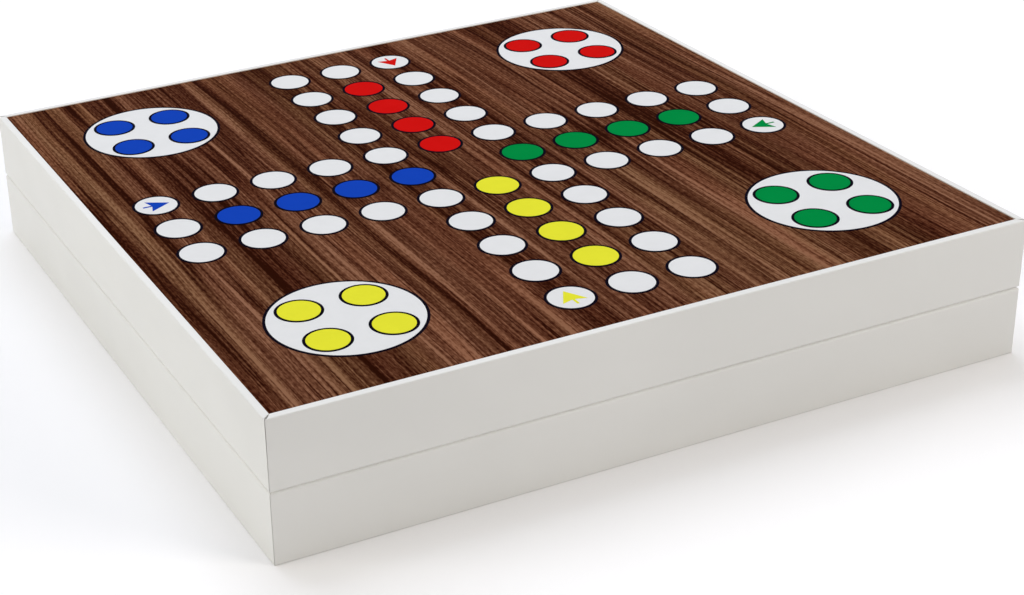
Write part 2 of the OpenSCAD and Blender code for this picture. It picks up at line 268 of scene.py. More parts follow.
class Sketch(Wiring):
    """A material in the making: its tree, its main shader and short names for common steps."""

    def __init__(self, name: str) -> None:
        """Starts an empty material.

        Args:
            name: The material's name.
        """
        self.material = bpy.data.materials.new(name)
        self.material.use_nodes = True
        super().__init__(self.material.node_tree)
        self.shader = self.tree.nodes["Principled BSDF"]
        self.place = self.add("ShaderNodeTexCoord").outputs["Object"]

    def noise(self, pattern: Pattern, source: Socket | None = None) -> Socket:
        """Soft noise from 0 to 1.

        Args:
            pattern: The noise's size, start and layers.
            source: Where it is read; the object's own coordinates by default.

        Returns:
            The noise.
        """
        place = self.add(
            "ShaderNodeMapping",
            {"Vector": source or self.place, "Scale": pattern.patches, "Location": pattern.start},
        ).outputs["Vector"]
        layers = {"Detail": pattern.detail, "Roughness": pattern.rough, "Distortion": pattern.swirl}
        node = self.add("ShaderNodeTexNoise", {"Vector": place, "Scale": 1.0, **layers})
        return node.outputs["Fac"]

    def swung(self, pattern: Pattern, source: Socket) -> Socket:
        """A noise that swings to both sides of 0, as far as its pattern says."""
        return self.spread(self.noise(pattern, source), WHOLE, (-pattern.swing, pattern.swing))

    def ramp(self, value: Socket, stops: Sequence[tuple[float, Colour]]) -> Socket:
        """Turns a value into a colour.

        Args:
            value: A value from 0 to 1.
            stops: Places on the ramp with their colours, from low to high.

        Returns:
            The colour.
        """
        node = self.add("ShaderNodeValToRGB", {"Fac": value})
        elements = node.color_ramp.elements
        for place, colour in stops[1:-1]:
            elements.new(place).color = colour
        for element, (place, colour) in ((elements[0], stops[0]), (elements[-1], stops[-1])):
            element.position = place
            element.color = colour
        return node.outputs["Color"]

    def blend(
        self,
        share: Socket | float,
        first: Socket | Colour,
        second: Socket | Colour,
        how: str = "MIX",
    ) -> Socket:
        """Mixes two colours.

        Args:
            share: How much of the second colour.
            first: The colour at a share of 0.
            second: The colour at a share of 1.
            how: Rule by which the colours are mixed.

        Returns:
            The mixed colour.
        """
        node = self.add("ShaderNodeMix", data_type="RGBA", blend_type=how, clamp_result=True)
        for number, value in ((MIX_SHARE, share), (MIX_FIRST, first), (MIX_SECOND, second)):
            self.fill(node.inputs[number], value)
        return node.outputs[MIX_RESULT]

    def relief(self, height: Socket, depth: float, strength: float = 0.5) -> None:
        """Gives the surface a relief.

        Args:
            height: The relief's height, from 0 to 1.
            depth: The real height of the relief, in metres.
            strength: Share of the relief that shows.
        """
        node = self.add("ShaderNodeBump", {"Height": height, "Distance": depth, "Strength": strength})
        self.feed(Normal=node.outputs["Normal"])

    def feed(self, **inputs: Socket | float | Colour) -> None:
        """Fills inputs of the main shader.

        Args:
            **inputs: Values or output sockets by the input's name, with underscores for spaces.
        """
        for name, value in inputs.items():
            self.fill(self.shader.inputs[name.replace("_", " ")], value)


# Finishes


@dataclass(frozen=True)
class Lacquer:
    """Satin white lacquer on fibreboard, sprayed, with a faint orange peel."""

    colour: Colour = paint(235, 234, 231)
    shade: Colour = paint(230, 229, 226)
    cloud: Pattern = Pattern((9, 9, 16), detail=3)
    shaded: Range = (0.35, 0.65)
    wipe: Pattern = Pattern((40, 40, 90), (5, 2, 8), 4, 0.6)
    roughness: Range = (0.42, 0.56)
    peel: Pattern = Pattern(even(1 / PEEL_W), detail=1)
    peel_depth: float = 0.006 * MM
    peel_share: float = 0.6
    specular: float = 0.35

    def material(self) -> Material:
        """Makes the material.

        Returns:
            The material.
        """
        sketch = Sketch("white_lacquer")
        shaded = sketch.spread(sketch.noise(self.cloud), self.shaded)
        sketch.feed(Base_Color=sketch.blend(shaded, self.colour, self.shade))
        sketch.feed(Roughness=sketch.spread(sketch.noise(self.wipe), MIDDLE, self.roughness))
        sketch.relief(sketch.noise(self.peel), self.peel_depth, self.peel_share)
        sketch.feed(Specular_IOR_Level=self.specular)
        return sketch.material


@dataclass(frozen=True)
class Walnut:
    """Printed walnut decor: the grain runs from front to back, under a matt film."""

    tones: tuple[tuple[float, Colour], ...] = (
        (0.14, paint(40, 11, 2)),
        (0.27, paint(61, 27, 15)),
        (0.38, paint(77, 41, 25)),
        (0.5, paint(91, 54, 37)),
        (0.62, paint(108, 68, 48)),
        (0.73, paint(121, 80, 58)),
        (0.86, paint(143, 100, 76)),
    )
    middle_tone: float = 0.5
    sway: Pattern = Pattern((9, 3.2, 9), swing=6 * MM)
    ripple: Pattern = Pattern((90, 22, 9), (4, 4, 0), swing=0.5 * MM)
    bands: Pattern = Pattern((58, 0.9, 1), (3, 1, 0), 4, 0.6, swing=1.0)
    streaks: Pattern = Pattern((260, 2.4, 1), (7, 4, 0), 3, 0.6, swing=0.625)
    fibres: Pattern = Pattern((900, 9, 1), (1, 9, 0), 2, 0.7, swing=0.625)
    pores: Pattern = Pattern((1500, 420, 1), (4, 2, 0), swing=0.4)
    dark_veins: Pattern = Pattern((200, 3.5, 1), (11, 3, 0), rough=0.55, swing=-0.22)
    dark_reach: Range = (0.58, 0.72)
    light_veins: Pattern = Pattern((420, 4, 1), (6, 5, 0), rough=0.55, swing=0.26)
    light_reach: Range = (0.58, 0.7)
    broad_lines: Pattern = Pattern((110, 1.6, 1), (2, 8, 0), detail=1, swing=-0.26)
    broad_line_w: float = 0.014
    fine_lines: Pattern = Pattern((230, 3.5, 1), (5, 1, 0), detail=1, swing=-0.26)
    fine_line_w: float = 0.02
    olive_clouds: Pattern = Pattern((60, 3, 1), (60, 2, 0))
    olive: Colour = (0.93, 1.0, 0.9, 1.0)
    russet_clouds: Pattern = Pattern((85, 5, 1), (85, 2, 0))
    russet: Colour = (1.0, 0.93, 0.9, 1.0)
    clouded: Range = (0.45, 0.65)
    core: Colour = paint(196, 152, 98)
    upright: Range = (0.9, 0.6)
    roughness: Range = (0.62, 0.72)
    grain_depth: float = 0.01 * MM

    def material(self) -> Material:
        """Makes the material.

        Returns:
            The material.
        """
        sketch = Sketch("walnut_board")
        grain = self._grain(sketch)
        fibres = sketch.noise(self.fibres, grain)
        streaks = sketch.noise(self.streaks, grain)
        wood = sketch.ramp(self._tone(sketch, grain), self.tones)
        for clouds, tint in ((self.olive_clouds, self.olive), (self.russet_clouds, self.russet)):
            share = sketch.spread(sketch.noise(clouds, grain), self.clouded)
            wood = sketch.blend(share, wood, tint, "MULTIPLY")
        sketch.feed(Base_Color=sketch.blend(self._edge(sketch), wood, self.core))
        sketch.feed(Roughness=sketch.spread(streaks, MIDDLE, self.roughness))
        sketch.relief(sketch.sum(fibres, streaks), self.grain_depth)
        sketch.feed(Specular_IOR_Level=MATT_LEVEL)
        return sketch.material

    def _grain(self, sketch: Sketch) -> Socket:
        """Coordinates that waver sideways, as the fibres of the wood do.

        Args:
            sketch: The material in the making.

        Returns:
            The coordinates.
        """
        parts = sketch.add("ShaderNodeSeparateXYZ", {"Vector": sketch.place}).outputs
        across = parts["X"]
        for pattern in (self.sway, self.ripple):
            across = sketch.sum(across, sketch.swung(pattern, sketch.place))
        return sketch.vector(X=across, Y=parts["Y"])

    def _tone(self, sketch: Sketch, grain: Socket) -> Socket:
        """How light the wood is: bands, streaks, fibres and pores, then veins and thin dark lines.

        Args:
            sketch: The material in the making.
            grain: Coordinates along the fibres.

        Returns:
            The tone, from 0 for the darkest to 1 for the lightest.
        """
        tone = self.middle_tone
        for layer in (self.bands, self.streaks, self.fibres, self.pores):
            tone = sketch.sum(tone, sketch.swung(layer, grain))
        for veins, reach in ((self.dark_veins, self.dark_reach), (self.light_veins, self.light_reach)):
            share = sketch.spread(sketch.noise(veins, grain), reach)
            tone = sketch.sum(tone, sketch.times(share, veins.swing))
        for lines, width in ((self.broad_lines, self.broad_line_w), (self.fine_lines, self.fine_line_w)):
            off = sketch.sum(sketch.noise(lines, grain), NOISE_MIDDLE, "SUBTRACT")
            share = sketch.spread(sketch.sum(off, 0.0, "ABSOLUTE"), (width, 0.0))
            tone = sketch.sum(tone, sketch.times(share, lines.swing))
        return tone

    def _edge(self, sketch: Sketch) -> Socket:
        """Finds the panel's cut sides, where its fibreboard core shows.

        Args:
            sketch: The material in the making.

        Returns:
            A mask that is 1 on the cut sides.
        """
        normal = sketch.add("ShaderNodeTexCoord").outputs["Normal"]
        upright = sketch.add("ShaderNodeSeparateXYZ", {"Vector": normal}).outputs["Z"]
        return sketch.spread(sketch.sum(upright, 0.0, "ABSOLUTE"), self.upright)


@dataclass(frozen=True)
class Ink:
    """One colour of the matt print."""

    name: str
    colour: Colour
    faded: float = 0.975
    mottle: Pattern = Pattern(even(140), detail=4, rough=0.6)
    roughness: Range = (0.55, 0.66)
    tooth: Pattern = Pattern(even(1500))
    tooth_depth: float = 0.004 * MM

    def material(self) -> Material:
        """Makes the material.

        Returns:
            The material.
        """
        sketch = Sketch(self.name)
        mottle = sketch.noise(self.mottle)
        shade = sketch.spread(mottle, MIDDLE)
        sketch.feed(Base_Color=sketch.blend(shade, self.colour, darker(self.colour, self.faded)))
        sketch.feed(Roughness=sketch.spread(mottle, MIDDLE, self.roughness))
        sketch.relief(sketch.noise(self.tooth), self.tooth_depth)
        sketch.feed(Specular_IOR_Level=MATT_LEVEL)
        return sketch.material


@dataclass(frozen=True)
class Felt:
    """Short pressed wool felt."""

    tones: tuple[tuple[float, Colour], ...] = ((0.15, paint(38, 74, 54)), (0.9, paint(62, 104, 80)))
    clumps: Pattern = Pattern(even(420), detail=5, rough=0.7)
    clumped: Range = (0.3, 0.7)
    hairs: Pattern = Pattern(even(2600), even(3), 3, 0.7, swirl=1.5)
    haired: Range = (0.25, 0.75)
    half: Range = (0.0, 0.5)
    roughness: Range = (0.85, 1.0)
    nap_depth: float = 0.12 * MM
    nap_share: float = 0.8
    specular: float = 0.1
    sheen: float = 0.35
    sheen_rough: float = 0.5

    def material(self) -> Material:
        """Makes the material.

        Returns:
            The material.
        """
        sketch = Sketch("felt_lining")
        hairs = sketch.noise(self.hairs)
        nap = sketch.sum(
            sketch.spread(sketch.noise(self.clumps), self.clumped, self.half),
            sketch.spread(hairs, self.haired, self.half),
        )
        sketch.feed(Base_Color=sketch.ramp(nap, self.tones))
        sketch.feed(Roughness=sketch.spread(hairs, WHOLE, self.roughness))
        sketch.relief(nap, self.nap_depth, self.nap_share)
        sketch.feed(Specular_IOR_Level=self.specular)
        sketch.feed(Sheen_Weight=self.sheen, Sheen_Roughness=self.sheen_rough)
        return sketch.material


@dataclass(frozen=True)
class Beech:
    """Clear lacquered beech, with its short dark flecks along the grain."""

    light: Colour = paint(222, 190, 147)
    dark: Colour = paint(196, 156, 110)
    fleck: Colour = paint(150, 104, 66)
    rings: Pattern = Pattern((7, 160, 160), detail=3, rough=0.6)
    flecks: Pattern = Pattern((260, 1500, 1500), (4, 1, 2))
    fleck_reach: Range = (0.62, 0.72)
    fleck_share: float = 0.6
    roughness: Range = (0.42, 0.55)
    grain_depth: float = 0.02 * MM

    def material(self, name: str = "divider_wood", along_y: bool = False) -> Material:
        """Makes the material.

        Args:
            name: The material's name.
            along_y: True where the grain runs along Y, and not along X.

        Returns:
            The material.
        """
        sketch = Sketch(name)
        rings = sketch.noise(self.rings.turned() if along_y else self.rings)
        flecks = sketch.noise(self.flecks.turned() if along_y else self.flecks)
        wood = sketch.blend(sketch.spread(rings, MIDDLE), self.light, self.dark)
        spots = sketch.times(sketch.spread(flecks, self.fleck_reach), self.fleck_share)
        sketch.feed(Base_Color=sketch.blend(spots, wood, self.fleck))
        sketch.feed(Roughness=sketch.spread(rings, MIDDLE, self.roughness))
        sketch.relief(sketch.sum(rings, flecks), self.grain_depth)
        return sketch.material


@dataclass(frozen=True)
class Polish:
    """Polished metal, with fine drawing marks along the hinge and a little haze."""

    name: str
    colour: Colour
    rough: float
    marks_along: float
    marks_across: float = 2400.0
    marked: Range = (-0.06, 0.08)
    mark_depth: float = 0.008 * MM
    mark_share: float = 0.6
    haze: Pattern = Pattern(even(160), even(9), 4, 0.65)
    dull: float = 0.72
    dulled: Range = (0.45, 0.8)
    hazed: Range = (0.4, 0.8)
    haze_rough: Range = (0.0, 0.12)

    def material(self) -> Material:
        """Makes the material.

        Returns:
            The material.
        """
        sketch = Sketch(self.name)
        fine = (self.marks_along, self.marks_across, self.marks_across)
        marks = sketch.noise(Pattern(fine, detail=3, rough=0.6))
        haze = sketch.noise(self.haze)
        dull = sketch.spread(haze, self.dulled)
        sketch.feed(Base_Color=sketch.blend(dull, self.colour, darker(self.colour, self.dull)))
        low, high = self.marked
        drawn = sketch.spread(marks, MIDDLE, (self.rough + low, self.rough + high))
        sketch.feed(Roughness=sketch.sum(drawn, sketch.spread(haze, self.hazed, self.haze_rough)))
        sketch.relief(marks, self.mark_depth, self.mark_share)
        sketch.feed(Metallic=1.0)
        return sketch.material


class Metal(Enum):
    """The metals of the fittings."""

    BRASS = Polish("hinge_brass", paint(214, 172, 92), 0.26, 60.0)
    SCREW = Polish("brass_screw", paint(208, 164, 88), 0.3, 300.0)
    STEEL = Polish("hinge_pin_steel", paint(196, 196, 198), 0.24, 40.0)
    NICKEL = Polish("nickel_magnet", paint(206, 203, 197), 0.16, 500.0)

    def material(self) -> Material:
        """Makes this metal's material."""
        return self.value.material()


@dataclass(frozen=True)
class Plastic:
    """Moulded plastic of the playing pieces, with a soft gloss and the odd scuff."""

    name: str
    colour: Colour
    rough: float = 0.22
    swirl: Pattern = Pattern(even(220), detail=3, rough=0.6, swirl=1.0)
    deep: float = 0.86
    scuffs: Pattern = Pattern((900, 900, 160), (2, 6, 1), 4, 0.7)
    scuffed: Range = (0.4, 0.75)
    scuff_rough: float = 0.2
    scuff_depth: float = 0.01 * MM
    scuff_share: float = 0.3

    def material(self) -> Material:
        """Makes the material.

        Returns:
            The material.
        """
        sketch = Sketch(self.name)
        swirl = sketch.spread(sketch.noise(self.swirl), MIDDLE)
        sketch.feed(Base_Color=sketch.blend(swirl, self.colour, darker(self.colour, self.deep)))
        scuffs = sketch.noise(self.scuffs)
        dulled = (self.rough, self.rough + self.scuff_rough)
        sketch.feed(Roughness=sketch.spread(scuffs, self.scuffed, dulled))
        sketch.relief(scuffs, self.scuff_depth, self.scuff_share)
        return sketch.material


# Meshes


def placed(name: str, data: bpy.types.ID) -> Piece:
    """Puts a mesh, a lamp or a camera into the scene.

    Args:
        name: The object's name.
        data: What the object holds.

    Returns:
        The new object.
    """
    thing = bpy.data.objects.new(name, data)
    bpy.context.scene.collection.objects.link(thing)
    return thing


def new_piece(name: str, mesh: Mesh, material: Material | None = None) -> Piece:
    """Puts a mesh into the scene as a piece whose place is in its mesh.

    Args:
        name: The piece's name.
        mesh: Its mesh, in metres and in the frame.
        material: Its finish, if the mesh doesn't bring one.

    Returns:
        The new object.
    """
    mesh.name = name
    if material is not None:
        mesh.materials.clear()
        mesh.materials.append(material)
    return placed(name, mesh)


def settle(piece: Piece, body: Body, slot: str, *nodes: str) -> None:
    """Rides a new piece on its half of the box, in place of the solids that it stands for.

    Args:
        piece: The new piece.
        body: The half that carries it.
        slot: Not used.
        *nodes: The solids that it replaces.
    """
    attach(piece, body.value)
    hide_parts(*nodes)
    solids, faces = len(nodes), len(piece.data.polygons)
    LOG.info("%s rides on %s, for %d solid(s), %d faces", piece.name, body.value, solids, faces)


def soften(piece: Piece, ease: float = 0.0, sharp: float = SHARP_ANGLE) -> None:
    """Smooths a piece's curved faces, keeps its flat ones flat, and may ease its edges.

    Args:
        piece: The piece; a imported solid's loose triangles are joined first.
        ease: Width that is eased off each sharp edge, in metres.
        sharp: Edges that turn by more than this many degrees stay sharp.
    """
    weld = piece.modifiers.new("Weld", "WELD")
    weld.merge_threshold = WELD
    if ease:
        join = piece.modifiers.new("Join", "DECIMATE")
        join.decimate_type = "DISSOLVE"
        join.angle_limit = math.radians(FLAT_ANGLE)
        bevel = piece.modifiers.new("Ease", "BEVEL")
        bevel.width = ease
        bevel.segments = EASE_STEPS
        bevel.limit_method = "ANGLE"
        bevel.angle_limit = math.radians(sharp)
    recipe = smoothing_recipe()
    smooth = piece.modifiers.new("Smooth", "NODES")
    smooth.node_group = recipe.tree
    smooth[recipe.identifiers["Angle"]] = math.radians(sharp)
    weigh = piece.modifiers.new("Flats", "WEIGHTED_NORMAL")
    weigh.keep_sharp = True
    weigh.weight = FLATS_WEIGHT


@cache
def smoothing_recipe() -> Recipe:
    """Makes, once, the tree that smooths faces except across edges that turn by more than an angle.

    Returns:
        The recipe, with the angle as its input.
    """
    recipe = Recipe("Smooth faces")
    limit = recipe.number("Angle", math.radians(SHARP_ANGLE))
    turn = recipe.add("GeometryNodeInputMeshEdgeAngle").outputs["Unsigned Angle"]
    gentle = recipe.add("FunctionNodeCompare", {0: turn, 1: limit}, operation="LESS_EQUAL")
    geometry = recipe.geometry
    for domain, smooth in (("FACE", True), ("EDGE", gentle.outputs["Result"])):
        inputs = {"Geometry": geometry, "Shade Smooth": smooth}
        shaded = recipe.add("GeometryNodeSetShadeSmooth", inputs, domain=domain)
        geometry = shaded.outputs["Geometry"]
    recipe.close(geometry)
    return recipe


class Recipe(Wiring):
    """A tree of geometry nodes in the making, with named inputs for its sizes."""

    def __init__(self, name: str) -> None:
        """Starts a tree that takes and gives a mesh.

        Args:
            name: The tree's name.
        """
        super().__init__(bpy.data.node_groups.new(name, "GeometryNodeTree"))
        self.tree.is_modifier = True
        for way in ("INPUT", "OUTPUT"):
            self.tree.interface.new_socket("Geometry", in_out=way, socket_type="NodeSocketGeometry")
        self.entry = self.tree.nodes.new("NodeGroupInput")
        self.exit = self.tree.nodes.new("NodeGroupOutput")
        self.identifiers: dict[str, str] = {}
        self.geometry = self.entry.outputs["Geometry"]

    def _named(self, name: str, kind: str, default: object = None) -> Socket:
        """Adds an input.

        Args:
            name: The input's name.
            kind: Blender's name for its kind of socket.
            default: Its value where a piece sets none.

        Returns:
            The input's socket inside the tree.
        """
        socket = self.tree.interface.new_socket(name, in_out="INPUT", socket_type=kind)
        if default is not None:
            socket.default_value = default
        self.identifiers[name] = socket.identifier
        return self.entry.outputs[name]

    def number(self, name: str, default: float = 0.0) -> Socket:
        """Adds a named input for a size or an angle."""
        return self._named(name, "NodeSocketFloat", default)

    def count(self, name: str, default: int = 0) -> Socket:
        """Adds a named input for a count or a seed."""
        return self._named(name, "NodeSocketInt", default)

    def finish(self) -> Socket:
        """Adds the named input for the material."""
        return self._named("Finish", "NodeSocketMaterial")

    def moved(self, mesh: Socket, **how: Socket) -> Socket:
        """Moves or turns a mesh by a vector that is named for the input it fills."""
        return self.add("GeometryNodeTransform", {"Geometry": mesh, **how}).outputs["Geometry"]

    def joined(self, *meshes: Socket) -> Socket:
        """Joins meshes.

        Args:
            *meshes: The meshes, in the order in which they are linked.

        Returns:
            The joined mesh.
        """
        node = self.add("GeometryNodeJoinGeometry")
        for mesh in meshes:
            self.tree.links.new(mesh, node.inputs[0])
        return node.outputs["Geometry"]

    def thickened(self, flat: Socket, height: Socket) -> tuple[Socket, Socket]:
        """Closes flat faces into a slab.

        Args:
            flat: Faces that look up.
            height: How far the slab's top lies above them.

        Returns:
            The slab, and the mask of its top faces.
        """
        raised = self.add(
            "GeometryNodeExtrudeMesh",
            {"Mesh": flat, "Offset": self.vector(Z=height), "Offset Scale": 1.0, "Individual": False},
            mode="FACES",
        )
        under = self.add("GeometryNodeFlipFaces", {"Mesh": flat}).outputs["Mesh"]
        joined = self.joined(under, raised.outputs["Mesh"])
        merged = self.add("GeometryNodeMergeByDistance", {"Geometry": joined, "Distance": MERGE})
        return merged.outputs["Geometry"], raised.outputs["Top"]

    def close(self, geometry: Socket, finish: Socket | None = None) -> None:
        """Ends the tree, with real meshes and their material where it makes new ones.

        Args:
            geometry: What the tree has made.
            finish: The material input.
        """
        if finish is not None:
            real = self.add("GeometryNodeRealizeInstances", {"Geometry": geometry}).outputs["Geometry"]
            dressed = self.add("GeometryNodeSetMaterial", {"Geometry": real, "Material": finish})
            geometry = dressed.outputs["Geometry"]
        self.tree.links.new(geometry, self.exit.inputs["Geometry"])


def grown(name: str, seed: Mesh, recipe: Recipe, **values: object) -> Piece:
    """Runs a recipe on a seed mesh and keeps the result as a plain mesh.

    Args:
        name: The piece's name.
        seed: The points or faces that the recipe starts from.
        recipe: The tree of geometry nodes.
        **values: The recipe's inputs by name.

    Returns:
        The new piece, with no modifier left on it.
    """
    piece = new_piece(name, seed)
    step = piece.modifiers.new("Recipe", "NODES")
    step.node_group = recipe.tree
    for word, value in values.items():
        step[recipe.identifiers[word]] = value
    graph = bpy.context.evaluated_depsgraph_get()
    made = bpy.data.meshes.new_from_object(piece.evaluated_get(graph), depsgraph=graph)
    piece.modifiers.clear()
    made.name = name
    piece.data = made
    return piece


def seed_mesh(
    points: Sequence[Triple],
    sizes: Sequence[float],
    faces: Sequence[Sequence[int]] = (),
) -> Mesh:
    """A mesh of points, each with a size that a recipe can read.

    Args:
        points: The points, in metres.
        sizes: One size to each point.
        faces: Faces among the points, if any.

    Returns:
        The mesh.
    """
    mesh = bpy.data.meshes.new("seed")
    mesh.from_pydata(points, [], faces)
    mesh.attributes.new("size", "FLOAT", "POINT").data.foreach_set("value", sizes)
    return mesh


def welded(node: str) -> bmesh.types.BMesh:
    """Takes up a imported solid, with its loose triangles joined.

    Args:
        node: The solid's name.

    Returns:
        The solid's faces, to be worked on.
    """
    work = bmesh.new()
    work.from_mesh(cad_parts[node].data)
    bmesh.ops.remove_doubles(work, verts=work.verts, dist=WELD)
    return work


def kept(work: bmesh.types.BMesh, name: str) -> Mesh:
    """Turns faces that were worked on into a mesh, and frees them.

    Args:
        work: The faces.
        name: The mesh's name.

    Returns:
        The mesh.
    """
    mesh = bpy.data.meshes.new(name)
    work.to_mesh(mesh)
    work.free()
    return mesh


def eased_box(name: str, low: Vector, high: Vector, ease: float, steps: int = 3) -> Mesh:
    """A box with rounded edges.

    Args:
        name: The mesh's name.
        low: Its lowest corner.
        high: Its highest corner.
        ease: Radius of its edges.
        steps: Faces across each rounded edge.

    Returns:
        The mesh.
    """
    work = bmesh.new()
    bmesh.ops.create_cube(work, size=1)
    bmesh.ops.transform(work, matrix=Matrix.Diagonal((*(high - low), 1)), verts=work.verts)
    bmesh.ops.translate(work, vec=(low + high) / 2, verts=work.verts)
    rounding = {"offset": ease, "segments": steps, "profile": ROUND_PROFILE, "affect": "EDGES"}
    bmesh.ops.bevel(work, geom=work.edges[:], **rounding)
    return kept(work, name)


def turned_mesh(name: str, outline: Sequence[Place], centre: Vector, steps: int = 48) -> Mesh:
    """A turned part: an outline spun round an axis that lies along X.

    Args:
        name: The mesh's name.
        outline: Pairs of place along the axis and radius, from end to end, both ends on the axis.
        centre: The point of the axis from which the outline's places count.
        steps: Faces round the part.

    Returns:
        The mesh.
    """
    work = bmesh.new()
    angles = [2 * math.pi * k / steps for k in range(steps)]
    rings = []
    for along, radius in outline:
        turns = angles if radius else angles[:1]
        places = [(along, radius * math.cos(a), radius * math.sin(a)) for a in turns]
        rings.append([work.verts.new(centre + Vector(place)) for place in places])
    for first, second in zip(rings, rings[1:]):
        for k in range(steps):
            corners = [first[k % len(first)], first[(k + 1) % len(first)]]
            corners += [second[(k + 1) % len(second)], second[k % len(second)]]
            work.faces.new(list(dict.fromkeys(corners)))
    bmesh.ops.recalc_face_normals(work, faces=work.faces)
    return kept(work, name)


def dress(node: str, material: Material, ease: float = 0.0) -> None:
    """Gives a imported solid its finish, in its own place.

    Args:
        node: The solid's name.
        material: Its finish.
        ease: Width that is eased off its sharp edges, in metres.
    """
    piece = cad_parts[node]
    piece.data.materials.clear()
    piece.data.materials.append(material)
    soften(piece, ease)
    LOG.info("%s keeps its solid's shape, in %s", node, material.name)


# Sub-assemblies


@dataclass
class Case:
    """The eight mitred rails and the two panels."""

    panel_ease: float = 0.3 * MM
    lip_edge_r: float = 1 * MM
    crisp_edge_r: float = 0.45 * MM
    edge_room: float = 1.01
    outward: dict[str, Vector] = field(
        default_factory=lambda: {
            "front": Vector((0, -1, 0)),
            "back": Vector((0, 1, 0)),
            "left": Vector((-1, 0, 0)),
            "right": Vector((1, 0, 0)),
        }
    )

    def lid_rail(self, side: str, lacquer: Material) -> None:
        """Makes one rail of the lid from its solid, with a crisper edge along the lip.

        Args:
            side: The side on which the rail lies.
            lacquer: Its finish.
        """
        node = f"lid_{side}_rail"
        low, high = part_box(node)
        out = self.outward[side]
        reach = max(out.dot(low), out.dot(high))
        pulled = 1 - self.crisp_edge_r / self.lip_edge_r
        edge = self.lip_edge_r * self.edge_room
        work = welded(node)
        for vert in work.verts:
            inset = reach - out.dot(vert.co)
            sunk = high.z - vert.co.z
            if max(inset, sunk) < edge:
                vert.co += out * inset * pulled
                vert.co.z += sunk * pulled
        piece = new_piece(f"{node}_crisp", kept(work, node), lacquer)
        soften(piece)
        settle(piece, Body.LID, "white_lacquer", node)

    def build(self) -> None:
        """Builds the panels and the lid's rails, and dresses the base's rails."""
        lacquer = Lacquer().material()
        for side in self.outward:
            dress(f"base_{side}_rail", lacquer)
            self.lid_rail(side, lacquer)
        walnut = Walnut().material()
        for node, body in (("base_panel", Body.BASE), ("board_panel", Body.LID)):
            low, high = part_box(node)
            panel = new_piece(f"{node}_eased", eased_box(node, low, high, self.panel_ease), walnut)
            soften(panel)
            settle(panel, body, "walnut_board", node)


